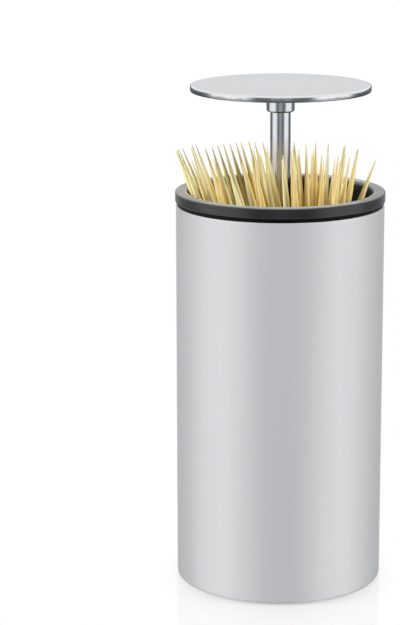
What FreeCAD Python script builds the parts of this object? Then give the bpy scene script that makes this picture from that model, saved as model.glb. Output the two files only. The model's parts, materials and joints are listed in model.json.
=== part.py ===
import FreeCAD, Part
import math
import os
import random

from FreeCAD import Placement, Rotation, Vector

# Pop-up toothpick dispenser. Pressing the lid drives the rod, the tray and the picks down until the lid is
# flush with the rim and the heart-cam latch holds it. The next press frees the latch, and the spring lifts
# them again. Millimetres, +Z up, origin at the middle of the foot that it stands on. The lid is raised.

# Outer shell: a drawn steel tube with its bottom edge turned in
body_radius = 36.0
shell_wall = 0.8
shell_bottom_z = 0.4
shell_top_z = 133.5
shell_corner = 1.2
lip_radius = 32.0

# Rim: a black collar that plugs into the shell
rim_radius = 36.25
mouth_radius = 31.9
rim_top_z = 138.4
rim_band = 3.5
neck_radius = 35.15
neck_inner_radius = 33.9
neck_bottom_z = 126.0

# Lid, collar and rod
lid_radius = 31.0
lid_thickness = 2.3
lid_top_z = 175.0
collar_radius = 4.85
collar_height = 7.0
rod_radius = 3.5
rod_bottom_z = 50.5
spigot_radius = 2.95
spigot_length = 4.8

# Travel: down to flush, and a little further to work the latch
flush_travel = lid_top_z - rim_top_z
over_travel = 2.0
full_travel = flush_travel + over_travel

# Base
pad_radius = 31.5
pad_thickness = 1.2
base_radius = 35.1
base_bottom_z = 1.25
base_top_z = 4.25
blind_hole_z = 1.8
fit_gap = 0.05
thread_gap = 0.02
screw_hole_gap = 0.1
pivot_gap = 0.06
pinned_gap = 0.01

# Liner: the black inner tube, with two grooves that keep the tray from turning
liner_inner_radius = 32.8
liner_radius = 34.9
liner_neck_radius = 33.8
liner_bottom_z = base_top_z + fit_gap
liner_top_z = 134.85
groove_radius = 34.05
groove_width = 3.6
groove_top_z = 98.0
lug_circle = 30.0
lug_radius = 3.4
lug_top_z = 16.0
lug_angles = (30, 150, 270)
base_screw_radius = 1.4
base_screw_head = 2.7
base_screw_seat_z = 3.1
base_screw_top_z = 13.0

# Guide column, bush and spring
column_radius = 7.0
column_bore = 6.2
column_top_z = 66.0
column_foot_radius = 14.6
column_foot_thickness = 1.2
column_screw_circle = 12.0
column_screw_radius = 1.25
column_screw_head = 2.1
bush_bottom_z = 58.0
bush_flange = 1.2
running_gap = 0.05
spring_radius = 8.6
spring_wire = 0.6
spring_turns = 12
seat_radius = 9.6
seat_thickness = 0.7

# Tray: a floor that slopes down from a hollow post, so that the picks fan out. The post covers the column.
floor_top_z = 91.8
floor_slope = 0.25
floor_edge_radius = 30.5
floor_thickness = 2.1
tray_radius = 32.4
skirt_bottom_z = 80.0
skirt_wall = 1.4
post_radius = 9.2
post_bore = 7.6
post_top_z = 110.5
post_cap = 3.0
post_foot_radius = 10.2
post_foot_z = 76.5
key_width = 3.0
key_radius = 33.7
clip_thickness = 0.7
clip_radius = 5.6
clip_groove_radius = 2.9

# Up-stop: a collar pinned to the rod, and the rubber washer that it meets
stop_radius = 5.8
stop_height = 5.0
stop_washer_thickness = 1.0
stop_pin_radius = 0.75

# Latch: a heart cam on the tray, and an arm that swings on a bracket
pivot_z = 8.0
arm_length = 28.0
arm_y = 17.0
arm_thickness = 1.8
eye_radius = 2.4
arm_tip_radius = 1.7
pin_radius = 1.0
pin_head_radius = 1.6
pin_head_height = 0.8
swing_deg = 14.0
cam_y = 21.4
cam_thickness = 4.0
cam_left = -4.5
cam_right = 11.5
cam_height = 24.0
pocket_depth = 2.6
latched_pin_height = 12.4
bracket_thickness = 1.0
bracket_half_length = 10.5
ear_half_width = 4.0
ear_top_z = 11.5
ear_thickness = 0.9
small_screw_radius = 1.2
small_screw_head = 2.0

# Toothpicks
pick_length = 65.0
pick_radius = 1.0
pick_taper = 15.6
pick_point = 0.15
pick_clearance = 0.3
pick_spacing = 0.1
fold_rate = 0.0076
top_limit = mouth_radius - 1.1
front_top = 19.0
pick_seed = 47
pick_attempts = 200
least_scatter = 0.5
scatter_growth = 2.0
top_scatter = 2.2

UP = Vector(0, 0, 1)
ACROSS = Vector(0, 1, 0)
GAP_STEPS = 16
FINE_STEPS = 65
LEAN_STEP = 0.05


# ---- shape helpers ---------------------------------------------------------------------------------------

def rounded_face(corners, place):
    """A flat face from corners (a, b) or (a, b, radius); place turns (a, b) into a point in space."""
    flat = [Vector(c[0], c[1], 0) for c in corners]
    radii = [c[2] if len(c) > 2 else 0.0 for c in corners]
    starts, edges, ends = [], [], []
    for i, corner in enumerate(flat):
        if radii[i] == 0.0:
            starts.append(corner)
            ends.append(corner)
            edges.append(None)
            continue
        back = (flat[i - 1] - corner).normalize()
        ahead = (flat[(i + 1) % len(flat)] - corner).normalize()
        half = back.getAngle(ahead) / 2
        inward = (back + ahead).normalize()
        reach = radii[i] / math.tan(half)
        middle = corner + inward * (radii[i] / math.sin(half) - radii[i])
        starts.append(corner + back * reach)
        ends.append(corner + ahead * reach)
        edges.append(middle)
    lines = []
    for i in range(len(flat)):
        if edges[i] is not None:
            arc = Part.Arc(place(starts[i]), place(edges[i]), place(ends[i]))
            lines.append(arc.toShape())
        following = starts[(i + 1) % len(flat)]
        if (following - ends[i]).Length > 1e-6:
            lines.append(Part.LineSegment(place(ends[i]), place(following)).toShape())
    return Part.Face(Part.Wire(lines))


def lathe(corners):
    """A solid turned about the Z axis from an outline of (radius, height) corners."""
    face = rounded_face(corners, lambda p: Vector(p.x, 0, p.y))
    return face.revolve(Vector(0, 0, 0), UP, 360)


def upright_plate(corners, y, thickness):
    """A plate that stands across the Y axis, from an outline of (x, z) corners."""
    face = rounded_face(corners, lambda p: Vector(p.x, y, p.y))
    return face.extrude(Vector(0, thickness, 0))


def tube(outer, inner, bottom, top):
    ring = Part.makeCylinder(outer, top - bottom, Vector(0, 0, bottom))
    return ring.cut(Part.makeCylinder(inner, top - bottom, Vector(0, 0, bottom)))


def block(x0, x1, y0, y1, z0, z1):
    return Part.makeBox(x1 - x0, y1 - y0, z1 - z0, Vector(x0, y0, z0))


def on_circle(radius, angle_deg, z=0.0):
    turn = math.radians(angle_deg)
    return Vector(radius * math.cos(turn), radius * math.sin(turn), z)


def pan_screw(shank_radius, head_radius, head_height, length):
    """A screw that points along -Z from its head's seat at the origin, with a cross recess in its head."""
    outline = [(0, head_height), (head_radius, head_height, head_height * 0.6), (head_radius, 0)]
    outline += [(shank_radius, 0), (shank_radius, -length + shank_radius), (0.3, -length), (0, -length)]
    screw = lathe(outline)
    arm = head_radius * 0.55
    slot = head_radius * 0.13
    depth = head_height * 0.5
    for x, y in ((arm, slot), (slot, arm)):
        screw = screw.cut(block(-x, x, -y, y, head_height - depth, head_height + 1))
    return screw


def placed(shape, position, direction=UP):
    copy = shape.copy()
    copy.Placement = Placement(position, Rotation(UP, direction))
    return copy


# ---- housing ---------------------------------------------------------------------------------------------

def outer_shell():
    inner = body_radius - shell_wall
    floor = shell_bottom_z + shell_wall
    return lathe([
        (body_radius, shell_bottom_z, shell_corner),
        (body_radius, shell_top_z, 0.2),
        (inner, shell_top_z, 0.2),
        (inner, floor, shell_corner - shell_wall),
        (lip_radius, floor),
        (lip_radius, shell_bottom_z),
    ])


def rim_ring():
    band_bottom = rim_top_z - rim_band
    return lathe([
        (mouth_radius, rim_top_z, 0.9),
        (rim_radius, rim_top_z, 0.5),
        (rim_radius, band_bottom, 0.3),
        (neck_radius, band_bottom),
        (neck_radius, neck_bottom_z, 0.4),
        (neck_inner_radius, neck_bottom_z),
        (neck_inner_radius, band_bottom),
        (mouth_radius, band_bottom, 0.3),
    ])


def inner_liner():
    shoulder_z = neck_bottom_z - 0.1
    liner = lathe([
        (liner_inner_radius, liner_bottom_z),
        (liner_radius, liner_bottom_z),
        (liner_radius, shoulder_z),
        (liner_neck_radius, shoulder_z),
        (liner_neck_radius, liner_top_z),
        (liner_inner_radius, liner_top_z),
    ])
    for angle in lug_angles:
        foot = on_circle(lug_circle, angle, liner_bottom_z)
        liner = liner.fuse(Part.makeCylinder(lug_radius, lug_top_z - liner_bottom_z, foot))
    half = groove_width / 2
    for side in (-1, 1):
        low, high = sorted((side * (liner_inner_radius - 1), side * groove_radius))
        liner = liner.cut(block(low, high, -half, half, 0, groove_top_z))
    for angle in lug_angles:
        foot = on_circle(lug_circle, angle)
        liner = liner.cut(Part.makeCylinder(base_screw_radius + thread_gap, base_screw_top_z + 0.5, foot))
    return liner.removeSplitter()


def base_plate():
    plate = lathe([
        (0, base_bottom_z),
        (base_radius, base_bottom_z, 0.6),
        (base_radius, base_top_z, 0.3),
        (0, base_top_z),
    ])
    for angle in lug_angles:
        foot = on_circle(lug_circle, angle)
        plate = plate.cut(Part.makeCylinder(base_screw_radius + screw_hole_gap, 10, foot))
        plate = plate.cut(Part.makeCylinder(base_screw_head + 0.2, base_screw_seat_z, foot))
        blind = on_circle(column_screw_circle, angle, blind_hole_z)
        plate = plate.cut(Part.makeCylinder(column_screw_radius + thread_gap, 4, blind))
    for x in bracket_screw_places():
        blind = Vector(x, bracket_middle_y(), blind_hole_z)
        plate = plate.cut(Part.makeCylinder(small_screw_radius + thread_gap, 4, blind))
    return plate


def foot_pad():
    return lathe([(0, 0), (pad_radius, 0, 0.4), (pad_radius, pad_thickness), (0, pad_thickness)])


def base_screws():
    """Three screws driven up through the base into the liner's lugs."""
    screw = pan_screw(base_screw_radius, base_screw_head, 1.7, base_screw_top_z - base_screw_seat_z)
    return [placed(screw, on_circle(lug_circle, a, base_screw_seat_z), Vector(0, 0, -1)) for a in lug_angles]


def guide_column():
    foot_top = liner_bottom_z + column_foot_thickness
    column = lathe([
        (column_bore, liner_bottom_z),
        (column_foot_radius, liner_bottom_z),
        (column_foot_radius, foot_top, 0.4),
        (column_radius, foot_top),
        (column_radius, column_top_z, 0.2),
        (column_bore, column_top_z),
    ])
    for angle in lug_angles:
        foot = on_circle(column_screw_circle, angle)
        column = column.cut(Part.makeCylinder(column_screw_radius + screw_hole_gap, 10, foot))
    return column


def column_screws():
    seat_z = liner_bottom_z + column_foot_thickness + fit_gap
    screw = pan_screw(column_screw_radius, column_screw_head, 1.3, seat_z - 2.0)
    return [placed(screw, on_circle(column_screw_circle, a, seat_z)) for a in lug_angles]


def guide_bush():
    """A flanged sleeve in the column's mouth, in which the rod runs."""
    bore = rod_radius + running_gap
    return lathe([
        (bore, bush_bottom_z, 0.2),
        (column_bore - fit_gap, bush_bottom_z),
        (column_bore - fit_gap, column_top_z + fit_gap),
        (column_radius, column_top_z + fit_gap),
        (column_radius, column_top_z + bush_flange, 0.3),
        (bore, column_top_z + bush_flange, 0.2),
    ])


def stop_washer():
    top = bush_bottom_z - fit_gap
    return tube(column_bore - 0.1, rod_radius + 0.4, top - stop_washer_thickness, top)


def spring_seat_z():
    return liner_bottom_z + column_foot_thickness + fit_gap


def spring_seat():
    return tube(seat_radius, column_radius + 0.15, spring_seat_z(), spring_seat_z() + seat_thickness)


def lift_spring():
    """A compression spring around the column, from its seat up to the tray's post."""
    bottom = spring_seat_z() + seat_thickness + spring_wire + fit_gap
    height = post_foot_z - fit_gap - spring_wire - bottom
    pitch = height / spring_turns
    path = Part.makeHelix(pitch, height, spring_radius)
    path.translate(Vector(0, 0, bottom))
    climb = math.atan2(pitch, 2 * math.pi * spring_radius)
    along = Vector(0, math.cos(climb), math.sin(climb))
    section = Part.Wire(Part.makeCircle(spring_wire, Vector(spring_radius, 0, bottom), along))
    return Part.Wire(path).makePipeShell([section], True, True)


# ---- latch -----------------------------------------------------------------------------------------------

def bracket_middle_y():
    return arm_y + arm_thickness / 2


def bracket_screw_places():
    return (-bracket_half_length + 2.7, bracket_half_length - 2.7)


def ear_places():
    """Where the bracket's two ears start, one on each side of the arm."""
    return (arm_y - 0.7 - ear_thickness, arm_y + arm_thickness + 0.7)


def latch_bracket():
    low = ear_places()[0] - 0.4
    high = ear_places()[1] + ear_thickness + 0.4
    top = liner_bottom_z + bracket_thickness
    bracket = block(-bracket_half_length, bracket_half_length, low, high, liner_bottom_z, top)
    for y in ear_places():
        ear = upright_plate([
            (-ear_half_width, liner_bottom_z),
            (ear_half_width, liner_bottom_z),
            (ear_half_width, ear_top_z, 2.5),
            (-ear_half_width, ear_top_z, 2.5),
        ], y, ear_thickness)
        bracket = bracket.fuse(ear)
    pin_hole = Part.makeCylinder(pin_radius + pinned_gap, 20, Vector(0, low, pivot_z), ACROSS)
    bracket = bracket.cut(pin_hole)
    for x in bracket_screw_places():
        hole = Part.makeCylinder(small_screw_radius + screw_hole_gap, 10, Vector(x, bracket_middle_y(), 0))
        bracket = bracket.cut(hole)
    return bracket.removeSplitter()


def bracket_screws():
    seat_z = liner_bottom_z + bracket_thickness + fit_gap
    screw = pan_screw(small_screw_radius, small_screw_head, 1.2, seat_z - 2.0)
    return [placed(screw, Vector(x, bracket_middle_y(), seat_z)) for x in bracket_screw_places()]


def latch_pivot_pin():
    """A headed pin through both ears, on which the arm swings."""
    start = ear_places()[0] - pin_head_height - 0.1
    length = ear_places()[1] + ear_thickness + 0.8 - start
    outline = [(0, 0), (pin_head_radius, 0, 0.3), (pin_head_radius, pin_head_height)]
    outline += [(pin_radius, pin_head_height), (pin_radius, length, 0.2), (0, length)]
    return placed(lathe(outline), Vector(0, start, pivot_z), ACROSS)


def latch_leaf():
    """A thin leaf spring that holds the arm's pin in the cam's groove."""
    bottom = liner_bottom_z + bracket_thickness
    leaf = block(-1.5, 1.5, arm_y - 0.5, arm_y - 0.25, bottom, 24)
    return leaf.cut(Part.makeCylinder(pin_radius + 0.3, 10, Vector(0, arm_y - 5, pivot_z), ACROSS))


def latch_arm():
    tip_z = pivot_z + arm_length
    arm = upright_plate([
        (-eye_radius, pivot_z),
        (eye_radius, pivot_z),
        (arm_tip_radius, tip_z),
        (-arm_tip_radius, tip_z),
    ], arm_y, arm_thickness)
    arm = arm.fuse(Part.makeCylinder(eye_radius, arm_thickness, Vector(0, arm_y, pivot_z), ACROSS))
    arm = arm.fuse(Part.makeCylinder(arm_tip_radius, arm_thickness, Vector(0, arm_y, tip_z), ACROSS))
    arm = arm.cut(Part.makeCylinder(pin_radius + pivot_gap, 9, Vector(0, arm_y - 1, pivot_z), ACROSS))
    arm = arm.cut(Part.makeCylinder(pin_radius + pinned_gap, 9, Vector(0, arm_y - 1, tip_z), ACROSS))
    return arm.removeSplitter()


def latch_follower_pin():
    """The pin at the arm's free end. It runs in the heart cam's groove."""
    reach = cam_y + pocket_depth - 0.6 - arm_y
    pin = lathe([(0, 0), (pin_radius, 0), (pin_radius, reach, 0.3), (0, reach)])
    return placed(pin, Vector(0, arm_y, pivot_z + arm_length), ACROSS)


def cam_bottom_z():
    """The cam's lower edge with the lid raised. At flush travel the pin lies in the heart's notch."""
    return pivot_z + arm_length - latched_pin_height + flush_travel


def pin_place(angle_deg):
    """How far the pin has moved sideways, and dropped, when the arm has swung by an angle."""
    turn = math.radians(angle_deg)
    return arm_length * math.sin(turn), arm_length * (1 - math.cos(turn))


def heart_cam():
    bottom = cam_bottom_z()
    plate = upright_plate([
        (cam_left, bottom, 0.8),
        (cam_right, bottom, 0.8),
        (cam_right, bottom + cam_height, 1.5),
        (cam_left, bottom + cam_height, 1.5),
    ], cam_y, cam_thickness)
    side = pin_radius + 0.6
    far = pin_place(swing_deg)[0] + side + 0.2
    roof = latched_pin_height + over_travel + pin_radius + 0.6
    pocket = upright_plate([
        (-side - 1.6, bottom - 1),
        (far + 1.5, bottom - 1),
        (far + 1.5, bottom),
        (far, bottom + 3),
        (far, bottom + roof - 0.6, 0.8),
        (-side, bottom + roof, 0.8),
        (-side, bottom + 3),
        (-side - 1.6, bottom),
    ], cam_y - 1, pocket_depth + 1)
    middle, drop = pin_place(swing_deg / 2)
    notch_z = bottom + latched_pin_height - drop - pin_radius * math.sqrt(2) - fit_gap
    half = middle - pin_radius - 0.4
    horn = 1.6
    heart = upright_plate([
        (middle, bottom + 4.5, 0.4),
        (middle + half, bottom + 7.5, 0.6),
        (middle + half, notch_z + horn - 0.6),
        (middle + horn, notch_z + horn),
        (middle, notch_z),
        (middle - horn, notch_z + horn),
        (middle - half, notch_z + horn - 0.6),
        (middle - half, bottom + 7.5, 0.6),
    ], cam_y, cam_thickness - 0.5)
    cam = plate.cut(pocket.cut(heart))
    for x, z in cam_screw_places():
        hole = Part.makeCylinder(small_screw_radius + screw_hole_gap, 9, Vector(x, cam_y - 1, z), ACROSS)
        cam = cam.cut(hole)
    return cam


def cam_screw_places():
    z = cam_bottom_z() + cam_height - 3.6
    return ((0.0, z), (7.0, z))


def cam_screws():
    screw = pan_screw(small_screw_radius, small_screw_head, 1.2, 6.4)
    return [placed(screw, Vector(x, cam_y - fit_gap, z), -ACROSS) for x, z in cam_screw_places()]


# ---- lid, rod and tray -----------------------------------------------------------------------------------

def lid_disc():
    bottom = lid_top_z - lid_thickness
    return lathe([(0, bottom), (lid_radius, bottom, 0.5), (lid_radius, lid_top_z, 0.7), (0, lid_top_z)])


def collar_bottom_z():
    return lid_top_z - lid_thickness - collar_height


def lid_collar():
    bottom = collar_bottom_z()
    top = bottom + collar_height
    bore = spigot_radius + 0.02
    depth = spigot_length + 0.1
    return lathe([
        (bore, bottom),
        (collar_radius - 0.5, bottom),
        (collar_radius, bottom + 0.5),
        (collar_radius, top),
        (0, top),
        (0, bottom + depth),
        (bore, bottom + depth),
    ])


def clip_places():
    """The lower faces of the two clips that hold the tray's post on the rod."""
    return (post_top_z - post_cap - fit_gap - clip_thickness, post_top_z + fit_gap)


def push_rod():
    shoulder = collar_bottom_z()
    rod = lathe([
        (0, rod_bottom_z),
        (rod_radius, rod_bottom_z, 0.5),
        (rod_radius, shoulder),
        (spigot_radius, shoulder),
        (spigot_radius, shoulder + spigot_length, 0.3),
        (0, shoulder + spigot_length),
    ])
    for z in clip_places():
        rod = rod.cut(tube(rod_radius + 1, clip_groove_radius, z - 0.03, z + clip_thickness + 0.03))
    cross = Part.makeCylinder(stop_pin_radius + pinned_gap, 20, Vector(-10, 0, stop_pin_z()), Vector(1, 0, 0))
    return rod.cut(cross)


def tray_clips():
    clips = []
    for z in clip_places():
        ring = tube(clip_radius, clip_groove_radius + 0.03, z, z + clip_thickness)
        mouth = block(0, clip_radius + 1, -2.2, 2.2, z - 1, z + 2)
        clips.append(ring.cut(mouth))
    return clips


def floor_z(radius):
    """The height of the tray's floor. It slopes down from the post, and is flat outside its edge."""
    return floor_top_z - floor_slope * (min(radius, floor_edge_radius) - post_radius)


def pick_tray():
    edge_z = floor_z(floor_edge_radius)
    tray = lathe([
        (rod_radius + fit_gap, post_top_z),
        (post_radius, post_top_z, 0.8),
        (post_radius, floor_top_z),
        (floor_edge_radius, edge_z),
        (tray_radius, edge_z, 0.5),
        (tray_radius, skirt_bottom_z),
        (tray_radius - skirt_wall, skirt_bottom_z),
        (tray_radius - skirt_wall, edge_z - floor_thickness),
        (post_foot_radius, floor_z(post_foot_radius) - floor_thickness),
        (post_foot_radius, post_foot_z),
        (post_bore, post_foot_z),
        (post_bore, post_top_z - post_cap),
        (rod_radius + fit_gap, post_top_z - post_cap),
    ])
    half = key_width / 2
    for side in (-1, 1):
        low, high = sorted((side * (tray_radius - 0.7), side * key_radius))
        tray = tray.fuse(block(low, high, -half, half, skirt_bottom_z, edge_z - 1))
    boss_front = cam_y + cam_thickness + fit_gap
    boss_top = edge_z - 0.1 * floor_thickness
    boss = block(cam_left, cam_right, boss_front, boss_front + 3.2, cam_bottom_z() + 10, boss_top)
    tray = tray.fuse(boss)
    for x, z in cam_screw_places():
        hole = Part.makeCylinder(small_screw_radius + thread_gap, 2.8, Vector(x, boss_front - 0.5, z), ACROSS)
        tray = tray.cut(hole)
    return tray.removeSplitter()


def stop_top_z():
    return bush_bottom_z - 2 * fit_gap - stop_washer_thickness


def stop_pin_z():
    return stop_top_z() - stop_height / 2


def stop_collar():
    """A ring pinned to the rod's lower end. It meets the rubber washer when the lid is up."""
    top = stop_top_z()
    ring = tube(stop_radius, rod_radius + 0.02, top - stop_height, top)
    cross = Part.makeCylinder(stop_pin_radius + pinned_gap, 20, Vector(-10, 0, stop_pin_z()), Vector(1, 0, 0))
    return ring.cut(cross)


def stop_pin():
    half = stop_radius - 0.1
    return Part.makeCylinder(stop_pin_radius, 2 * half, Vector(-half, 0, stop_pin_z()), Vector(1, 0, 0))


# ---- toothpicks ------------------------------------------------------------------------------------------

class Pick:
    """A toothpick as its foot on the tray's floor and the direction that it points."""

    def __init__(self, foot, direction):
        self.foot = foot
        self.direction = direction

    def point(self, along):
        return self.foot + self.direction * along

    def radius(self, along):
        from_end = min(along, pick_length - along)
        return pick_point + (pick_radius - pick_point) * min(1.0, from_end / pick_taper)

    def fold_axis(self):
        """The level axis through the foot about which the pick leans."""
        return UP.cross(Vector(self.direction.x, self.direction.y, 0)).normalize()

    def folded(self, angle):
        """The pick turned upright by an angle in radians."""
        turn = Rotation(self.fold_axis(), math.degrees(-angle))
        return Pick(self.foot, turn.multVec(self.direction))


def pick_between(foot, top):
    """A pick that stands on the tray's floor, with its top over the given place. Both are (x, y)."""
    foot_point = Vector(foot[0], foot[1], floor_z(math.hypot(*foot)) + pick_clearance)
    shift = Vector(top[0] - foot[0], top[1] - foot[1], 0)
    rise = math.sqrt(pick_length ** 2 - shift.Length ** 2)
    return Pick(foot_point, (shift + UP * rise).normalize())


def on_pick(along):
    return max(0.0, min(pick_length, along))


def gap_at(a, along, b):
    """The gap between pick a, at a distance along it, and the nearest part of pick b."""
    point = a.point(along)
    near = on_pick((point - b.foot).dot(b.direction))
    return (point - b.point(near)).Length - a.radius(along) - b.radius(near)


def gap_between(a, b):
    """The least gap between two picks: where their axes pass closest and, if near, at steps along each."""
    between = b.foot - a.foot
    slant = a.direction.dot(b.direction)
    on_a = on_pick((a.direction - b.direction * slant).dot(between) / max(1e-6, 1 - slant ** 2))
    on_b = on_pick((a.point(on_a) - b.foot).dot(b.direction))
    on_a = on_pick((b.point(on_b) - a.foot).dot(a.direction))
    apart = (a.point(on_a) - b.point(on_b)).Length - 2 * pick_radius
    if apart > pick_clearance:
        return apart
    gaps = [gap_at(a, on_a, b), gap_at(b, on_b, a)]
    for i in range(GAP_STEPS + 1):
        along = pick_length * i / GAP_STEPS
        gaps += [gap_at(a, along, b), gap_at(b, along, a)]
    return min(gaps)


def clears_middle(pick):
    """Whether a pick keeps off the tray's post, the upper clip and the rod."""
    for i in range(FINE_STEPS + 1):
        along = pick_length * i / FINE_STEPS
        point = pick.point(along)
        inside = post_radius if point.z < post_top_z + 2 * clip_thickness else rod_radius
        if math.hypot(point.x, point.y) < inside + pick.radius(along) + pick_clearance:
            return False
    return True


def rests_on_rim(pick):
    """Whether a pick keeps inside the rim's mouth, as far up as the rim reaches."""
    for i in range(FINE_STEPS + 1):
        along = pick_length * i / FINE_STEPS
        point = pick.point(along)
        room = mouth_radius - pick.radius(along) - pick_clearance
        beside_rim = rim_top_z - rim_band - 1 < point.z < rim_top_z + 0.5
        if beside_rim and math.hypot(point.x, point.y) > room:
            return False
    return True


def tip_inside_mouth(pick):
    tip = pick.point(pick_length)
    return math.hypot(tip.x, tip.y) < top_limit


def leaves_rod_open(pick):
    """Whether a pick's tip is beside the rod, behind it, or far in front of it at the rim."""
    tip = pick.point(pick_length)
    return abs(tip.x) > rod_radius or tip.y > 0 or tip.y < -front_top


def leaned(places, still_free):
    """Picks with their feet at x, y, each leant along its bearing for as long as it is still free."""
    picks = []
    for x, y, bearing in places:
        foot = Vector(x, y, floor_z(math.hypot(x, y)) + pick_clearance)
        lean = 0.0
        pick = Pick(foot, UP)
        while still_free(pick):
            resting = pick
            lean += LEAN_STEP
            turn = math.radians(lean)
            pick = Pick(foot, on_circle(math.sin(turn), bearing, math.cos(turn)))
        picks.append(resting)
    return picks


# Picks that fold inward as the tray goes down: foot x, foot y and bearing. The first lean out over the rim,
# and the others lean beside them.
LEANING = leaned((
    (-10.0, 9.0, 177), (-11.6, 5.4, 180), (-12.2, 1.8, 180), (-12.2, -1.8, 181), (-11.6, -5.4, 184),
    (-10.2, -9.2, 188), (-8.2, -13.8, 193), (-5.6, -18.4, 200), (10.5, -11.5, 354),
), rests_on_rim)
LEANING += leaned((
    (-7.4, 8.0, 178), (-10.2, 3.6, 180), (-10.2, -3.6, 182), (-8.2, -7.4, 186), (-6.4, -11.4, 190),
    (-4.0, -15.8, 196),
), tip_inside_mouth)
FOLD_STEPS = 8
FOLDED = [p.folded(fold_rate * full_travel * s / FOLD_STEPS) for p in LEANING for s in range(FOLD_STEPS + 1)]

# Each row of standing picks: name, count, places of its first and last foot, and of its first and last top
ROWS = (
    ("toothpicks_front", 10, (1.0, -26.0), (12.0, -23.5), (-18.0, -23.0), (20.0, -21.5)),
    ("toothpicks_front_inner", 10, (2.0, -22.5), (13.0, -20.0), (-19.0, -19.5), (24.0, -16.0)),
    ("toothpicks_middle", 10, (3.0, -19.0), (14.0, -16.5), (-20.0, -14.0), (26.0, -11.0)),
    ("toothpicks_middle_inner", 10, (4.0, -15.5), (14.0, -13.0), (-19.0, -10.0), (25.0, -7.0)),
    ("toothpicks_back_inner", 10, (5.0, -12.0), (14.5, -9.0), (-17.0, -5.0), (25.0, -1.0)),
    ("toothpicks_back", 10, (-8.0, 19.0), (10.0, 16.0), (-27.0, 11.0), (-8.0, 20.0)),
)


def stands_clear(pick, kept):
    """Whether a pick touches neither the middle nor a kept pick, however far the leaning ones have folded."""
    if not (tip_inside_mouth(pick) and leaves_rod_open(pick) and clears_middle(pick)):
        return False
    if any(gap_between(pick, other) < pick_spacing for other in kept):
        return False
    return all(gap_between(pick, other) > pick_clearance for other in FOLDED)


def standing_picks():
    """Rows of picks that stand inside the rim, drawn at random and kept where they touch nothing."""
    draw = random.Random(pick_seed)

    def place(first, last, share, loose):
        return [a + (b - a) * share + draw.uniform(-loose, loose) for a, b in zip(first, last)]

    rows = {}
    kept = []
    for name, count, first_foot, last_foot, first_top, last_top in ROWS:
        rows[name] = []
        for k in range(count):
            share = k / (count - 1)
            for attempt in range(pick_attempts):
                loose = least_scatter + scatter_growth * attempt / pick_attempts
                foot = place(first_foot, last_foot, share, loose)
                pick = pick_between(foot, place(first_top, last_top, share, top_scatter * loose))
                if stands_clear(pick, kept):
                    kept.append(pick)
                    rows[name].append(pick)
                    break
    return rows


def pick_solid(pick):
    outline = [(0, 0), (pick_point, 0), (pick_radius, pick_taper), (pick_radius, pick_length - pick_taper)]
    outline += [(pick_point, pick_length), (0, pick_length)]
    return placed(lathe(outline), pick.foot, pick.direction)


# ---- write -----------------------------------------------------------------------------------------------

PIECES = (
    outer_shell, rim_ring, inner_liner, base_plate, foot_pad, base_screws, guide_column, column_screws,
    guide_bush, stop_washer, spring_seat, lift_spring, latch_bracket, bracket_screws, latch_pivot_pin,
    latch_leaf, latch_arm, latch_follower_pin, heart_cam, cam_screws, lid_disc, lid_collar, push_rod,
    tray_clips, pick_tray, stop_collar, stop_pin,
)


def write(name, shape):
    solids = shape if isinstance(shape, list) else [shape]
    whole = solids[0] if len(solids) == 1 else Part.makeCompound(solids)
    box = whole.BoundBox
    size = "%6.1f %6.1f %6.1f" % (box.XLength, box.YLength, box.ZLength)
    print("%-20s %2d solids %s valid %s" % (name, len(whole.Solids), size, whole.isValid()))
    whole.exportStep(os.path.join("parts", name + ".step"))


def main():
    os.makedirs("parts", exist_ok=True)
    for piece in PIECES:
        write(piece.__name__, piece())
    for number, pick in enumerate(LEANING, 1):
        write("leaning_pick_%d" % number, pick_solid(pick))
    for name, picks in standing_picks().items():
        write(name, [pick_solid(p) for p in picks])


main()
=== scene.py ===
import json
import math
import random

import bpy
from mathutils import Matrix, Vector


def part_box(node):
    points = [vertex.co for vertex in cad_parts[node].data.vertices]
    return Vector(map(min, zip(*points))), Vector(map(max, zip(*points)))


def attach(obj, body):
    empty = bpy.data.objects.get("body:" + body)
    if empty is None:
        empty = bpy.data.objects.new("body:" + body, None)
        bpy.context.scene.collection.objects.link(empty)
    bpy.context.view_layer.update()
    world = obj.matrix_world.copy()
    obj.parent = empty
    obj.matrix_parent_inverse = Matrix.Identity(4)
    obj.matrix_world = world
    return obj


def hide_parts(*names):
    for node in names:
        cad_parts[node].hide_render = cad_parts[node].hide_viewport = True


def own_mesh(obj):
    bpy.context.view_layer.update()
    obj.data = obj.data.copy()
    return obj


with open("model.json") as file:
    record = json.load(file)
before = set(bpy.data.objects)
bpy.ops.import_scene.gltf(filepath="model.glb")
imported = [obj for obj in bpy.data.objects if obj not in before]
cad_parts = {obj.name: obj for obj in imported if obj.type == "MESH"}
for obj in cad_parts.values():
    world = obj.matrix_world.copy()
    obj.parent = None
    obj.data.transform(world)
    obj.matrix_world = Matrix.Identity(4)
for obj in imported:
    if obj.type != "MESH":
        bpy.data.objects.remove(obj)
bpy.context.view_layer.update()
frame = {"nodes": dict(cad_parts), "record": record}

# Lengths in constants are in millimetres and angles in degrees. The frame and the meshes are in metres.
# Colours are linear RGB, and the scales of a noise are in waves per metre.

MM = 0.001
NODES = frame["nodes"]
BODIES = frame["record"]["behaviour"]["bodies"]
BODY_OF = {piece: body for body, pieces in BODIES.items() for piece in pieces}

# ---- driving sizes -------------------------------------------------------------------------------

PICK_LENGTH = 65.0
PICK_RADIUS = 1.0
PICK_POINT_RADIUS = 0.15
PICK_TAPER = 15.6
SHOULDER_REACH = 4.0
SHOULDER_DEPTH = 0.03
TURNING_MARK_DEPTH = 0.012
TURNING_MARK_RATE = 0.55
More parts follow.
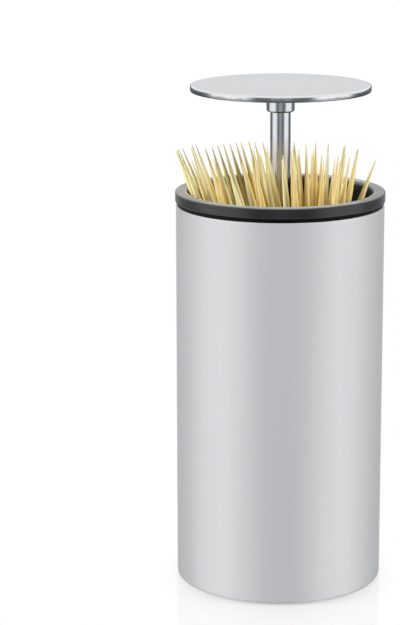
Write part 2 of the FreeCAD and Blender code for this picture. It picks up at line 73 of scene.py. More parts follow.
# Distances from the nearer end of a pick at which its mesh has a ring of points.
PICK_RINGS = (0.0, 0.25, 0.8, 2.0, 4.0, 6.5, 9.5, 12.5, 15.0, 17.0, 21.0, 27.0, 32.5)
PICK_SIDES = 20
PICK_UV_UNIT = 10.0
PICK_SEED = 5

# Points of a CAD mesh that lie in the same cell of this size are one point.
WELD_CELL = 0.01
# The points of a CAD pick within this height of its lowest or highest one are its foot or its tip.
END_DEPTH = 0.35

# Between the edge of the lid and the mouth of the rim.
LID_GAP = 0.9

SPRING_TURNS = 12
SPRING_WIRE_RADIUS = 0.6
SPRING_TURN_STEPS = 32
SPRING_WIRE_SIDES = 12
# Rise of a closed turn, in wire diameters.
CLOSED_TURN_RISE = 1.04

# ---- floor, surroundings, lamps and camera -------------------------------------------------------

# The shade lies between two distances from the axis, which count for more to the left and the right.
FLOOR_RADIUS = 2500.0
FLOOR_SIDES = 96
FLOOR_DROP = 0.05
FLOOR_TONE = (0.80, 0.80, 0.80)
SHADE_TONE = (0.55, 0.55, 0.55)
SHADE_FROM = 34.0
SHADE_TO = 62.0
SHADE_WHITENESS = 0.60
SHADE_NARROWING = (1.4, 1.0, 1.0)
SHINE_FROM = 80.0
SHINE_TO = 300.0
SHINE_SHARE = 0.13
SHINE_ROUGHNESS = 0.12

# Bearings are measured from the front (-Y) towards +X. A panel fades in between its first two bearings and
# fades out between its last two.
LEFT_PANEL = (-28, -50, -88, -112)
RIGHT_PANEL = (34, 52, 90, 112)
CENTRE_HALF_WIDTH = (9, 18)
REAR_FADE = (90, 120)
CENTRE_LEVEL = 0.38
FRONT_LEVEL = 0.19
REAR_LEVEL = 0.18
SIDE_LEVEL = 1.08
SKY_LEVEL = 1.0
LOW_TINT = (-0.10, -0.01, 0.03)

# These fades run over the x or the z of the unit vector that points at the surroundings.
HORIZON_FADE = (0.02, 0.16)
SOFT_SIDE_FADE = (0.35, 0.85)
SOFT_SKY_FADE = (0.3, 0.9)
SOFT_FRONT = 0.14
SOFT_SIDE = 0.62
SOFT_SKY = 0.42

LAMP_SIZE = 300.0
LAMP_AIM = (0.0, 0.0, 120.0)
LEFT_LAMP_PLACE = (-700.0, -200.0, 420.0)
LEFT_LAMP_WATTS = 7.2
RIGHT_LAMP_PLACE = (700.0, -160.0, 420.0)
RIGHT_LAMP_WATTS = 5.6

CAMERA_PLACE = (0.0, -763.0, 272.7)
CAMERA_DOWN = 13.111
CAMERA_LEFT = 2.085
CAMERA_ROLL = -0.170
FOCAL_LENGTH_PIXELS = 2241.5
PICTURE_HEIGHT_PIXELS = 625.0
SENSOR_SIZE = 36.0

# ---- shader nodes --------------------------------------------------------------------------------


class Tree:
    """The shader nodes of a material or of the world, under construction."""

    def __init__(self, owner):
        owner.use_nodes = True
        self.tree = owner.node_tree

    def clear(self):
        """Take out the nodes that a new material or world comes with."""
        self.tree.nodes.clear()

    def node(self, kind, **settings):
        made = self.tree.nodes.new(kind)
        for key, value in settings.items():
            setattr(made, key, value)
        return made

    def link(self, out, into):
        self.tree.links.new(out, into)

    def feed(self, socket, value):
        """Give a socket a number, a colour or another node's output."""
        if isinstance(value, (int, float)):
            socket.default_value = value
        elif isinstance(value, tuple):
            socket.default_value = (*value, 1.0)
        else:
            self.link(value, socket)

    def math(self, operation, a, b=0.0):
        made = self.node("ShaderNodeMath", operation=operation)
        self.feed(made.inputs[0], a)
        self.feed(made.inputs[1], b)
        return made.outputs[0]

    def split(self, vector):
        made = self.node("ShaderNodeSeparateXYZ")
        self.link(vector, made.inputs[0])
        return made.outputs

    def join(self, x, y, z):
        made = self.node("ShaderNodeCombineXYZ")
        for socket, value in zip(made.inputs, (x, y, z)):
            self.feed(socket, value)
        return made.outputs[0]

    def stretched(self, vector, scales):
        made = self.node("ShaderNodeVectorMath", operation="MULTIPLY")
        self.link(vector, made.inputs[0])
        made.inputs[1].default_value = scales
        return made.outputs[0]

    def length(self, vector):
        made = self.node("ShaderNodeVectorMath", operation="LENGTH")
        self.link(vector, made.inputs[0])
        return made.outputs["Value"]

    def span(self, value, low, high, to_low, to_high, interpolation="SMOOTHSTEP"):
        """Carry the range low to high over to another range, and hold it beyond both ends."""
        made = self.node("ShaderNodeMapRange", interpolation_type=interpolation)
        self.link(value, made.inputs[0])
        for socket, number in zip(made.inputs[1:5], (low, high, to_low, to_high)):
            socket.default_value = number
        return made.outputs[0]


class Look(Tree):
    """A procedural material: a principled shader and what feeds it."""

    def __init__(self, name, **constants):
        self.material = bpy.data.materials.new(name)
        super().__init__(self.material)
        self.shader = self.tree.nodes["Principled BSDF"]
        for socket, value in constants.items():
            self.shader.inputs[socket.replace("_", " ")].default_value = value

    def to(self, socket, value):
        self.link(value, self.shader.inputs[socket])

    def place(self):
        """Object coordinates, in metres."""
        return self.node("ShaderNodeTexCoord").outputs["Object"]

    def radius(self):
        """Distance from the upright axis, and the height, in metres."""
        x, y, z = self.split(self.place())
        return self.hypotenuse(x, y), z

    def hypotenuse(self, a, b):
        square = self.math("ADD", self.math("MULTIPLY", a, a), self.math("MULTIPLY", b, b))
        return self.math("SQRT", square)

    def noise(self, vector, scale=1.0, detail=3.0, roughness=0.6):
        made = self.node("ShaderNodeTexNoise")
        self.link(vector, made.inputs["Vector"])
        made.inputs["Scale"].default_value = scale
        made.inputs["Detail"].default_value = detail
        made.inputs["Roughness"].default_value = roughness
        return made.outputs["Fac"]

    def brushed(self, scales, detail=3.0, roughness=0.6):
        """A noise with a scale of its own along X, Y and Z, so that it draws lines or streaks."""
        return self.noise(self.stretched(self.place(), scales), detail=detail, roughness=roughness)

    def ramp(self, factor, *stops):
        made = self.node("ShaderNodeValToRGB")
        elements = made.color_ramp.elements
        while len(elements) < len(stops):
            elements.new(0.5)
        for element, (position, color) in zip(elements, stops):
            element.position = position
            element.color = (*color, 1.0)
        self.link(factor, made.inputs[0])
        return made.outputs[0]

    def mix(self, factor, first, second):
        """A colour between two colours."""
        made = self.node("ShaderNodeMix", data_type="RGBA")
        self.feed(made.inputs[0], factor)
        self.feed(made.inputs[6], first)
        self.feed(made.inputs[7], second)
        return made.outputs[2]

    def between(self, factor, first, second):
        """A number between two numbers."""
        made = self.node("ShaderNodeMix", data_type="FLOAT")
        self.feed(made.inputs[0], factor)
        self.feed(made.inputs[2], first)
        self.feed(made.inputs[3], second)
        return made.outputs[0]

    def bump(self, height, depth, strength=1.0):
        """Raise the surface by up to a depth in mm."""
        made = self.node("ShaderNodeBump")
        made.inputs["Distance"].default_value = depth * MM
        made.inputs["Strength"].default_value = strength
        self.link(height, made.inputs["Height"])
        self.to("Normal", made.outputs[0])

    def near_circles(self, width, *circles):
        """1 on circles round the axis, each a radius and a height in metres, and 0 past a width in mm."""
        radius, height = self.radius()
        nearest = None
        for circle_radius, circle_height in circles:
            across = self.math("SUBTRACT", radius, circle_radius)
            up = self.math("SUBTRACT", height, circle_height)
            gap = self.hypotenuse(across, up)
            nearest = gap if nearest is None else self.math("MINIMUM", nearest, gap)
        return self.span(nearest, 0.0, width * MM, 1.0, 0.0)


def tinted(color, share):
    """A darker or lighter shade of a colour."""
    return tuple(min(1.0, channel * share) for channel in color)


def dress(look, *names):
    """Give CAD nodes a material."""
    for name in names:
        mesh = NODES[name].data
        mesh.materials.clear()
        mesh.materials.append(look.material)
        for polygon in mesh.polygons:
            polygon.material_index = 0


# ---- metals --------------------------------------------------------------------------------------

def shell_steel():
    """Satin steel, brushed round the cylinder, with a bright cut edge at the top and at the foot."""
    low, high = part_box("outer_shell")
    dark = (0.78, 0.785, 0.80)
    light = (0.84, 0.845, 0.855)
    cloud = (0.77, 0.775, 0.795)
    cut = (0.9, 0.9, 0.9)
    look = Look("shell_steel", Metallic=0.9, Anisotropic=0.5, Anisotropic_Rotation=0.25)
    tangent = look.node("ShaderNodeTangent", direction_type="RADIAL", axis="Z")
    look.to("Tangent", tangent.outputs[0])
    lines = look.brushed((30, 30, 9000), detail=4.0, roughness=0.7)
    clouds = look.brushed((120, 120, 7), detail=2.0)
    tone = look.ramp(lines, (0.25, dark), (0.75, light))
    tone = look.mix(look.span(clouds, 0.3, 0.7, 0.0, 0.35), tone, cloud)
    edge = look.near_circles(0.5, (high.x, high.z), (high.x, low.z))
    look.to("Base Color", look.mix(edge, tone, cut))
    satin = look.span(lines, 0.2, 0.8, 0.62, 0.72)
    look.to("Roughness", look.math("SUBTRACT", satin, look.math("MULTIPLY", edge, 0.2)))
    look.bump(lines, 0.006)
    return look


def lid_steel():
    """Satin faces and a polished rounded edge. The lower part of the edge, where the disc was cut off, is
    rougher, and its darker colour there is painted shade.
    """
    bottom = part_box("lid_disc")[0].z
    dark = (0.665, 0.675, 0.70)
    light = (0.705, 0.715, 0.735)
    bright = (0.78, 0.785, 0.80)
    # The dark colour of the edge's lower part is painted shade.
    painted_shade_edge = (0.36, 0.37, 0.39)
    look = Look("lid_steel", Metallic=1.0)
    radius, height = look.radius()
    hair = look.brushed((40, 5200, 40), detail=4.0, roughness=0.7)
    wave = look.math("SUBTRACT", look.brushed((240, 240, 0), detail=2.0), 0.5)
    wavy = look.math("ADD", height, look.math("MULTIPLY", wave, 1.2 * MM))
    # The lower part of the edge: painted shade in its colour, and a rougher shear zone.
    shear_zone_and_painted_shade = look.span(wavy, bottom + 0.7 * MM, bottom + 1.3 * MM, 1.0, 0.0)
    upright = look.split(look.node("ShaderNodeNewGeometry").outputs["Normal"])[2]
    flat = look.span(look.math("ABSOLUTE", upright), 0.93, 0.985, 0.0, 1.0)
    face = look.ramp(hair, (0.25, dark), (0.75, light))
    look.to("Base Color", look.mix(flat, look.mix(shear_zone_and_painted_shade, bright, painted_shade_edge), face))
    turned = look.join(look.math("MULTIPLY", radius, 7000), 0.0, look.math("MULTIPLY", height, 50))
    polish = look.span(look.noise(turned), 0.3, 0.7, 0.06, 0.11)
    edge = look.math("ADD", polish, look.math("MULTIPLY", shear_zone_and_painted_shade, 0.16))
    satin = look.span(hair, 0.2, 0.8, 0.26, 0.36)
    look.to("Roughness", look.between(flat, edge, satin))
    look.bump(hair, 0.004)
    return look


def polished_steel():
    """Polished rod and collar, with faint hairlines from sliding."""
    dark = (0.69, 0.70, 0.725)
    light = (0.75, 0.76, 0.785)
    look = Look("polished_steel", Metallic=1.0)
    hair = look.brushed((2600, 2600, 18))
    rings = look.brushed((20, 20, 3000), detail=2.0)
    look.to("Base Color", look.ramp(hair, (0.3, dark), (0.7, light)))
    look.to("Roughness", look.span(rings, 0.3, 0.75, 0.10, 0.20))
    look.bump(hair, 0.002)
    return look


def plain_steel(name, color, rough, grain):
    """Zinc plated or drawn steel for small parts, with a fine grain and faint stains."""
    look = Look(name, Metallic=1.0)
    place = look.place()
    spots = look.noise(place, scale=grain, detail=5.0)
    stain = look.noise(place, scale=220.0, detail=2.0)
    tone = look.ramp(spots, (0.3, tinted(color, 0.84)), (0.7, tinted(color, 1.12)))
    stained = look.span(stain, 0.4, 0.7, 0.0, 0.3)
    look.to("Base Color", look.mix(stained, tone, tinted(color, 0.75)))
    look.to("Roughness", look.span(spots, 0.3, 0.7, *rough))
    look.bump(spots, 0.008)
    return look


# ---- plastics and rubber -------------------------------------------------------------------------

def plastic(name, color, rough=(0.34, 0.46), specular=0.5):
    """Moulded plastic with a fine pebble and a cloudy tone."""
    look = Look(name, IOR=1.5, Specular_IOR_Level=specular)
    place = look.place()
    pebble = look.noise(place, scale=2600.0, detail=2.0)
    cloud = look.noise(place, scale=70.0)
    look.to("Base Color", look.ramp(cloud, (0.3, tinted(color, 0.85)), (0.7, tinted(color, 1.2))))
    look.to("Roughness", look.span(pebble, 0.3, 0.7, *rough))
    look.bump(pebble, 0.02, 0.6)
    return look


def rim_plastic():
    """Black plastic with a glossy streaked side, a rougher top with painted light in its paler colour, and a
    painted highlight on the inner edge, strongest at the front. Below the collar, which begins where the
    liner ends, it is dull and has no reflection, as painted shade in the recess."""
    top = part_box("rim_ring")[1].z
    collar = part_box("inner_liner")[1].z
    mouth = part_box("lid_disc")[1].x + LID_GAP * MM
    side_dark = (0.005, 0.005, 0.0052)
    side_light = (0.008, 0.008, 0.0084)
    streak = (0.015, 0.015, 0.0155)
    # The paler colour of the top is painted light; the top is also rougher.
    top_dark = (0.085, 0.085, 0.087)
    top_light = (0.125, 0.125, 0.128)
    # A painted highlight on the rim's inner edge.
    painted_highlight = (0.37, 0.37, 0.365)
    groove = (0.010, 0.010, 0.010)
    look = Look("black_plastic", IOR=1.5, Sheen_Weight=0.5, Sheen_Roughness=0.3)
    place = look.place()
    _, y, height = look.split(place)
    pebble = look.noise(place, scale=2600.0, detail=2.0)
    cloud = look.noise(place, scale=70.0)
    streaks = look.span(look.brushed((22, 22, 1900)), 0.35, 0.65, 0.0, 0.8)
    side = look.mix(streaks, look.ramp(cloud, (0.3, side_dark), (0.7, side_light)), streak)
    on_top = look.span(height, top - 0.30 * MM, top - 0.08 * MM, 0.0, 1.0)
    tone = look.mix(on_top, side, look.ramp(cloud, (0.35, top_dark), (0.65, top_light)))
    # The painted highlight on the inner edge is strongest at the front and fades towards the back.
    painted_highlight_front = look.span(y, -28 * MM, 10 * MM, 0.9, 0.2)
    inner_edge = look.near_circles(1.9, (mouth, top))
    tone = look.mix(look.math("MULTIPLY", inner_edge, painted_highlight_front), tone, painted_highlight)
    # Below the collar the rim is dark and has no reflection: painted shade in the recess.
    above = look.span(height, collar, collar + 0.2 * MM, 0.0, 1.0)
    look.to("Base Color", look.mix(above, groove, tone))
    look.to("Specular IOR Level", look.math("MULTIPLY", above, 0.62))
    gloss = look.span(pebble, 0.3, 0.7, 0.24, 0.34)
    look.to("Roughness", look.math("ADD", gloss, look.math("MULTIPLY", on_top, 0.22)))
    look.bump(pebble, 0.02, 0.6)
    return look


def rubber():
    """Matt rubber with a fine grain and a little dust."""
    dark = (0.022, 0.022, 0.023)
    light = (0.045, 0.045, 0.046)
    dusty = (0.075, 0.073, 0.070)
    look = Look("rubber", IOR=1.5, Specular_IOR_Level=0.35)
    place = look.place()
    grain = look.noise(place, scale=1800.0, detail=4.0)
    dust = look.noise(place, scale=120.0)
    tone = look.ramp(grain, (0.3, dark), (0.7, light))
    look.to("Base Color", look.mix(look.span(dust, 0.45, 0.75, 0.0, 0.5), tone, dusty))
    look.to("Roughness", look.span(grain, 0.3, 0.7, 0.72, 0.9))
    look.bump(grain, 0.04)
    return look


# ---- wood ----------------------------------------------------------------------------------------

def pick_wood():
    """Turned wood with fibres along each pick. Some picks are paler, some warmer, and their ends greyer."""
    dark = (0.52, 0.32, 0.05)
    straw = (0.78, 0.61, 0.21)
    cream = (0.95, 0.85, 0.50)
    honey = (0.74, 0.48, 0.10)
    pale_pick = (0.86, 0.81, 0.47)
    warm_pick = (0.82, 0.56, 0.15)
    grey_end = (0.58, 0.55, 0.36)
    look = Look("pick_wood", IOR=1.45, Specular_IOR_Level=0.9)
    uv = look.node("ShaderNodeUVMap", uv_map="UVMap").outputs[0]
    along, around, _ = look.split(uv)

    def fibres(along_scale, around_scale, layer):
        lengthwise = look.math("MULTIPLY", along, along_scale)
        round_it = look.math("MULTIPLY", around, around_scale)
        return look.join(lengthwise, round_it, layer)

    fibre = look.noise(fibres(2.2, 34.0, 0.0), detail=5.0, roughness=0.65)
    streak = look.noise(fibres(0.8, 9.0, 3.7), detail=2.0)
    number = look.math("MULTIPLY", look.math("FLOOR", around), 0.731)
    pick = look.noise(look.join(0.5, number, 9.1), detail=0.0)
    tone = look.ramp(fibre, (0.28, dark), (0.5, straw), (0.74, cream))
    tone = look.mix(look.span(streak, 0.42, 0.7, 0.0, 0.65), tone, honey)
    tone = look.mix(look.span(pick, 0.48, 0.62, 0.0, 0.75), tone, pale_pick)
    tone = look.mix(look.span(pick, 0.34, 0.48, 0.60, 0.0), tone, warm_pick)
    to_tip = look.math("SUBTRACT", PICK_LENGTH / PICK_UV_UNIT, along)
    weathered = look.span(look.math("MINIMUM", along, to_tip), 0.1, 1.5, 0.55, 0.0)
    look.to("Base Color", look.mix(weathered, tone, grey_end))
    look.to("Roughness", look.span(fibre, 0.3, 0.7, 0.42, 0.28))
    look.bump(fibre, 0.04)
    return look


# ---- own pieces ----------------------------------------------------------------------------------

def new_piece(name, points, faces, material):
    """A mesh object with smooth four-sided faces and flat ends."""
    mesh = bpy.data.meshes.new(name)
    mesh.from_pydata(points, [], faces)
    for polygon in mesh.polygons:
        polygon.use_smooth = len(polygon.vertices) == 4
    mesh.materials.append(material)
    piece = bpy.data.objects.new(name, mesh)
    bpy.context.scene.collection.objects.link(piece)
    return piece


def islands(mesh):
    """The points of every separate solid in a mesh whose faces may not share their corners."""
    points = [vertex.co.copy() for vertex in mesh.vertices]
    parent = list(range(len(points)))

    def root(index):
        while parent[index] != index:
            parent[index] = parent[parent[index]]
            index = parent[index]
        return index

    first_here = {}
    for index, point in enumerate(points):
        cell = tuple(round(c / (WELD_CELL * MM)) for c in point)
        parent[root(index)] = root(first_here.setdefault(cell, index))
    for edge in mesh.edges:
        parent[root(edge.vertices[0])] = root(edge.vertices[1])
    members = {}
    for index, point in enumerate(points):
        members.setdefault(root(index), []).append(point)
    return members.values()


def middle(points):
    """The mean of some points."""
    return sum(points, Vector()) / len(points)


def pick_ends(mesh):
    """Foot and tip of every pick in a CAD mesh, in metres, in a fixed order."""
    ends = []
    for points in islands(mesh):
        lowest = min(p.z for p in points) + END_DEPTH * MM
        highest = max(p.z for p in points) - END_DEPTH * MM
        foot = middle([p for p in points if p.z < lowest])
        tip = middle([p for p in points if p.z > highest])
        ends.append((foot, tip))
    return sorted(ends, key=lambda pair: tuple(pair[0]))


def pick_radius(along, phase):
    """Radius at a distance along a pick: cones at both ends with a soft shoulder and faint turning marks. It
    is never more than the radius of the CAD pick."""
    from_end = min(along, PICK_LENGTH - along)
    cone = PICK_POINT_RADIUS + (PICK_RADIUS - PICK_POINT_RADIUS) * min(1.0, from_end / PICK_TAPER)
    shoulder = max(0.0, 1.0 - abs(from_end - PICK_TAPER) / SHOULDER_REACH)
    marks = 1 + math.sin(along * TURNING_MARK_RATE + phase)
    return cone - SHOULDER_DEPTH * shoulder ** 2 - TURNING_MARK_DEPTH * marks


def pick_points(foot, tip, stations, draw):
    """Rings of points round one pick, turned by a random angle."""
    along = (tip - foot).normalized()
    turn = Matrix.Rotation(draw.uniform(0.0, math.tau), 3, along)
    side = turn @ along.orthogonal().normalized()
    other = along.cross(side)
    phase = draw.uniform(0.0, 6.0)
    points = []
    for station in stations:
        radius = pick_radius(station, phase) * MM
        centre = foot + along * (tip - foot).length * station / PICK_LENGTH
        for step in range(PICK_SIDES):
            angle = math.tau * step / PICK_SIDES
            points.append(centre + (side * math.cos(angle) + other * math.sin(angle)) * radius)
    return points


def pick_faces(start, stations, number):
    """Faces over the rings of one pick, and their UV corners: u runs along the pick, and v is its number plus
    the share of a turn round it."""
    faces = []
    corners = []
    levels = [station / PICK_UV_UNIT for station in stations]
    for ring, (u0, u1) in enumerate(zip(levels, levels[1:])):
        lower = start + ring * PICK_SIDES
        upper = lower + PICK_SIDES
        for side in range(PICK_SIDES):
            beside = (side + 1) % PICK_SIDES
            v0 = number + side / PICK_SIDES
            v1 = number + (side + 1) / PICK_SIDES
            faces.append((lower + side, lower + beside, upper + beside, upper + side))
            corners.append([(u0, v0), (u0, v1), (u1, v1), (u1, v0)])
    last = start + (len(stations) - 1) * PICK_SIDES
    faces.append(tuple(start + side for side in reversed(range(PICK_SIDES))))
    faces.append(tuple(last + side for side in range(PICK_SIDES)))
    for level in (levels[0], levels[-1]):
        corners.append([(level, number + 0.5)] * PICK_SIDES)
    return faces, corners


def pick_piece(name, ends, first_number, draw, material):
    """One piece with all the picks of a CAD node."""
    stations = sorted(set(PICK_RINGS) | {PICK_LENGTH - ring for ring in PICK_RINGS})
    points = []
    faces = []
    corners = []
    for number, (foot, tip) in enumerate(ends, first_number):
        more_faces, more_corners = pick_faces(len(points), stations, number)
        faces += more_faces
        corners += more_corners
        points += pick_points(foot, tip, stations, draw)
    piece = new_piece(name, points, faces, material)
    layer = piece.data.uv_layers.new(name="UVMap")
    for polygon, face_corners in zip(piece.data.polygons, corners):
        for loop, corner in zip(polygon.loop_indices, face_corners):
            layer.data[loop].uv = corner
    return piece


def all_picks():
    """A piece of wood for every CAD node that holds picks."""
    wood = pick_wood().material
    draw = random.Random(PICK_SEED)
    number = 0
    for name in sorted(name for name in NODES if name.startswith(("toothpicks", "leaning_pick"))):
        ends = pick_ends(NODES[name].data)
        piece = pick_piece(name + "_wood", ends, number, draw, wood)
        number += len(ends)
        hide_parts(name)
        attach(piece, BODY_OF[name])


def coil_height(turns, low, high):
    """Height of the wire's middle after some turns: one closed turn at each end and open ones between."""
    wire = SPRING_WIRE_RADIUS * MM
    closed = 2 * wire * CLOSED_TURN_RISE
    pitch = (high - low - 2 * wire - 2 * closed) / (SPRING_TURNS - 2)
    first = min(turns, 1.0)
    last = max(turns - SPRING_TURNS + 1.0, 0.0)
    between = min(max(turns - 1.0, 0.0), SPRING_TURNS - 2.0)
    return low + wire + closed * (first + last) + pitch * between


def coil_points(low, high):
    """Rings of points along the wire of the spring, between two corners of its box."""
    wire = SPRING_WIRE_RADIUS * MM
    points = []
    for step in range(SPRING_TURNS * SPRING_TURN_STEPS + 1):
        turns = step / SPRING_TURN_STEPS
        out = Vector((math.cos(math.tau * turns), math.sin(math.tau * turns), 0.0))
        centre = out * (high.x - wire) + Vector((0.0, 0.0, coil_height(turns, low.z, high.z)))
        for side in range(SPRING_WIRE_SIDES):
            angle = math.tau * side / SPRING_WIRE_SIDES
            points.append(centre + out * wire * math.cos(angle) + Vector((0.0, 0.0, wire * math.sin(angle))))
    return points


def coil_faces():
    """Faces between the rings of the spring's wire, and its two cut ends."""
    sides = SPRING_WIRE_SIDES
    steps = SPRING_TURNS * SPRING_TURN_STEPS
    faces = []
    for step in range(steps):
        for side in range(sides):
            here = step * sides + side
            beside = step * sides + (side + 1) % sides
            faces.append((here, here + sides, beside + sides, beside))
    faces.append(tuple(range(sides)))
    faces.append(tuple(steps * sides + side for side in reversed(range(sides))))
    return faces


def lift_spring():
    """A coil with one closed turn at each end, in the box of the CAD spring, fixed to the housing."""
    low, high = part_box("lift_spring")
    steel = plain_steel("spring_steel", (0.5, 0.5, 0.51), rough=(0.22, 0.36), grain=2200.0)
    coil = new_piece("lift_spring_coil", coil_points(low, high), coil_faces(), steel.material)
    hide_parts("lift_spring")
    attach(coil, "housing")
    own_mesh(coil)


# ---- stage ---------------------------------------------------------------------------------------

def floor_material():
    """White for the camera, with a soft shade close to the foot and a faint mirror image of the body. The
    metal doesn't mirror it, and all other light meets a plain white."""
    material = bpy.data.materials.new("floor_white")
    tree = Tree(material)
    tree.clear()

    def shader(kind, color, **values):
        made = tree.node(kind)
        tree.feed(made.inputs["Color"], color)
        for socket, value in values.items():
            tree.feed(made.inputs[socket], value)
        return made.outputs[0]

    def blend(factor, first, second):
        made = tree.node("ShaderNodeMixShader")
        for socket, value in zip(made.inputs, (factor, first, second)):
            tree.link(value, socket)
        return made.outputs[0]

    white = (1.0, 1.0, 1.0)
    plain = shader("ShaderNodeBsdfDiffuse", FLOOR_TONE)
    shaded = shader("ShaderNodeBsdfDiffuse", SHADE_TONE)
    glow = shader("ShaderNodeEmission", white, Strength=1.0)
    gloss = shader("ShaderNodeBsdfGlossy", white, Roughness=SHINE_ROUGHNESS)
    clear = tree.node("ShaderNodeBsdfTransparent").outputs[0]

    place = tree.node("ShaderNodeNewGeometry").outputs["Position"]
    reach = tree.length(tree.stretched(place, SHADE_NARROWING))
    whiteness = tree.span(reach, SHADE_FROM * MM, SHADE_TO * MM, SHADE_WHITENESS, 1.0)
    shine = tree.span(tree.length(place), SHINE_FROM * MM, SHINE_TO * MM, SHINE_SHARE, 0.0, "LINEAR")
    path = tree.node("ShaderNodeLightPath").outputs
    seen = blend(shine, blend(whiteness, shaded, glow), gloss)
    solid = blend(path["Is Camera Ray"], plain, seen)
    out = tree.node("ShaderNodeOutputMaterial")
    tree.link(blend(path["Is Glossy Ray"], solid, clear), out.inputs["Surface"])
    return material


def stage_floor():
    """A round table top just under the foot, so that the two faces don't meet in one plane."""
    mesh = bpy.data.meshes.new("floor")
    edge = []
    for side in range(FLOOR_SIDES):
        angle = math.tau * side / FLOOR_SIDES
        corner = Vector((FLOOR_RADIUS * math.cos(angle), FLOOR_RADIUS * math.sin(angle), -FLOOR_DROP))
        edge.append(corner * MM)
    mesh.from_pydata(edge, [], [tuple(range(FLOOR_SIDES))])
    mesh.materials.append(floor_material())
    floor = bpy.data.objects.new("floor", mesh)
    bpy.context.scene.collection.objects.link(floor)


def mirrored_level(tree, x, y, height):
    """What the metal mirrors: white above the horizon, and under it two bright sides with a darker front and
    back. The second value is 1 away from the two sides."""
    bearing = tree.math("ARCTAN2", x, tree.math("MULTIPLY", y, -1.0))

    def panel(edges):
        start, full, until, end = (math.radians(edge) for edge in edges)
        fade_in = tree.span(bearing, start, full, 0.0, 1.0)
        fade_out = tree.span(bearing, until, end, 1.0, 0.0)
        return tree.math("MULTIPLY", fade_in, fade_out)

    def off_centre(fade, from_level, to_level):
        start, end = (math.radians(edge) for edge in fade)
        return tree.span(tree.math("ABSOLUTE", bearing), start, end, from_level, to_level)

    side = tree.math("ADD", panel(LEFT_PANEL), panel(RIGHT_PANEL))
    ahead = off_centre(CENTRE_HALF_WIDTH, CENTRE_LEVEL, FRONT_LEVEL)
    behind = off_centre(REAR_FADE, 0.0, REAR_LEVEL - FRONT_LEVEL)
    sides = tree.math("MULTIPLY", side, SIDE_LEVEL - FRONT_LEVEL)
    low = tree.math("ADD", tree.math("ADD", ahead, behind), sides)
    above = tree.math("MULTIPLY", height, tree.math("SUBTRACT", SKY_LEVEL, low))
    return tree.math("ADD", low, above), tree.math("SUBTRACT", 1.0, side)


def soft_level(tree, x, z):
    """The light that falls on everything else: most from the sides and from above."""
    from_side = tree.span(tree.math("ABSOLUTE", x), *SOFT_SIDE_FADE, SOFT_FRONT, SOFT_SIDE)
    return tree.math("ADD", from_side, tree.span(z, *SOFT_SKY_FADE, 0.0, SOFT_SKY))


def studio_world():
    """White for the camera, a pattern for reflections and a soft light for the rest."""
    world = bpy.data.worlds.new("studio")
    bpy.context.scene.world = world
    tree = Tree(world)
    tree.clear()
    x, y, z = tree.split(tree.node("ShaderNodeTexCoord").outputs["Generated"])
    height = tree.span(z, *HORIZON_FADE, 0.0, 1.0)
    pattern, off_side = mirrored_level(tree, x, y, height)

    path = tree.node("ShaderNodeLightPath").outputs
    mirrored = tree.math("MAXIMUM", path["Is Glossy Ray"], path["Is Transmission Ray"])
    in_mirror = tree.math("MULTIPLY", mirrored, pattern)
    on_matt = tree.math("MULTIPLY", tree.math("SUBTRACT", 1.0, mirrored), soft_level(tree, x, z))
    level = tree.math("ADD", in_mirror, on_matt)
    seen = path["Is Camera Ray"]
    unseen = tree.math("SUBTRACT", 1.0, seen)
    strength = tree.math("ADD", seen, tree.math("MULTIPLY", unseen, level))

    below = tree.math("SUBTRACT", 1.0, height)
    cool = tree.math("MULTIPLY", tree.math("MULTIPLY", mirrored, off_side), below)
    tint = tree.node("ShaderNodeCombineColor")
    for socket, share in zip(tint.inputs, LOW_TINT):
        tree.link(tree.math("ADD", 1.0, tree.math("MULTIPLY", cool, share)), socket)
    background = tree.node("ShaderNodeBackground")
    tree.link(tint.outputs[0], background.inputs["Color"])
    tree.link(strength, background.inputs["Strength"])
    out = tree.node("ShaderNodeOutputWorld")
    tree.link(background.outputs[0], out.inputs["Surface"])


def lamp(name, place, watts):
    """A round soft lamp, aimed at the middle of the object and not mirrored in its metal."""
    light = bpy.data.lights.new(name, "AREA")
    light.shape = "DISK"
    light.size = LAMP_SIZE * MM
    light.energy = watts
    made = bpy.data.objects.new(name, light)
    made.location = Vector(place) * MM
    made.rotation_euler = (Vector(LAMP_AIM) - Vector(place)).to_track_quat("-Z", "Y").to_euler()
    bpy.context.scene.collection.objects.link(made)
    made.visible_glossy = False


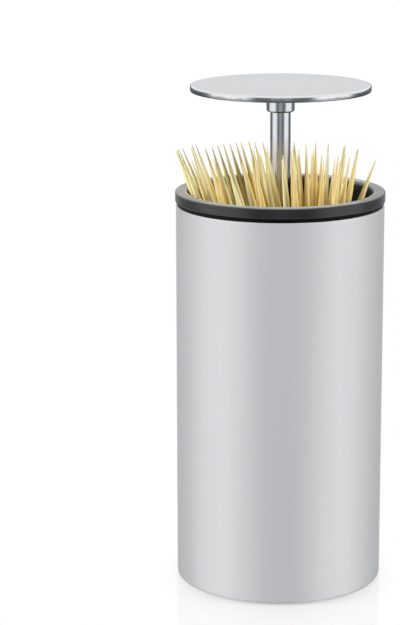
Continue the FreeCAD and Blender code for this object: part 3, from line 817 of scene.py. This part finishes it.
def camera():
    """A long lens in front of the object, about 10 cm above the lid and looking down a little."""
    down, left, roll = (math.radians(angle) for angle in (CAMERA_DOWN, CAMERA_LEFT, CAMERA_ROLL))
    forward = Vector((-math.sin(left) * math.cos(down), math.cos(left) * math.cos(down), -math.sin(down)))
    level = Vector((math.cos(left), math.sin(left), 0.0))
    upright = level.cross(forward)
    right = level * math.cos(roll) + upright * math.sin(roll)
    up = upright * math.cos(roll) - level * math.sin(roll)
    data = bpy.data.cameras.new("camera")
    data.sensor_width = SENSOR_SIZE
    data.lens = SENSOR_SIZE * FOCAL_LENGTH_PIXELS / PICTURE_HEIGHT_PIXELS
    made = bpy.data.objects.new("camera", data)
    turn = Matrix((right, up, -forward)).transposed()
    made.matrix_world = Matrix.Translation(Vector(CAMERA_PLACE) * MM) @ turn.to_4x4()
    bpy.context.scene.collection.objects.link(made)
    bpy.context.scene.camera = made


# ---- the whole scene -----------------------------------------------------------------------------

def dress_cad_nodes():
    """A material for every CAD node that keeps its own mesh."""
    inner_black = plastic("inner_black_plastic", (0.006, 0.006, 0.0062), rough=(0.5, 0.65), specular=0.3)
    grey = plastic("grey_plastic", (0.22, 0.22, 0.225))
    cream = plastic("bearing_plastic", (0.74, 0.73, 0.68), rough=(0.25, 0.36))
    zinc = plain_steel("zinc_steel", (0.62, 0.63, 0.65), rough=(0.25, 0.42), grain=1500.0)
    dress(shell_steel(), "outer_shell")
    dress(lid_steel(), "lid_disc")
    dress(polished_steel(), "push_rod", "lid_collar")
    dress(rim_plastic(), "rim_ring")
    dress(inner_black, "inner_liner", "pick_tray", "base_plate")
    dress(grey, "guide_column", "stop_collar")
    dress(cream, "guide_bush", "heart_cam")
    dress(rubber(), "foot_pad", "stop_washer")
    dress(zinc, "base_screws", "column_screws", "bracket_screws", "cam_screws", "tray_clips")
    dress(zinc, "latch_bracket", "latch_pivot_pin", "latch_leaf", "latch_arm", "latch_follower_pin")
    dress(zinc, "spring_seat", "stop_pin")


dress_cad_nodes()
all_picks()
lift_spring()
stage_floor()
studio_world()
lamp("left", LEFT_LAMP_PLACE, LEFT_LAMP_WATTS)
lamp("right", RIGHT_LAMP_PLACE, RIGHT_LAMP_WATTS)
camera()
bpy.context.scene.view_settings.view_transform = "Standard"
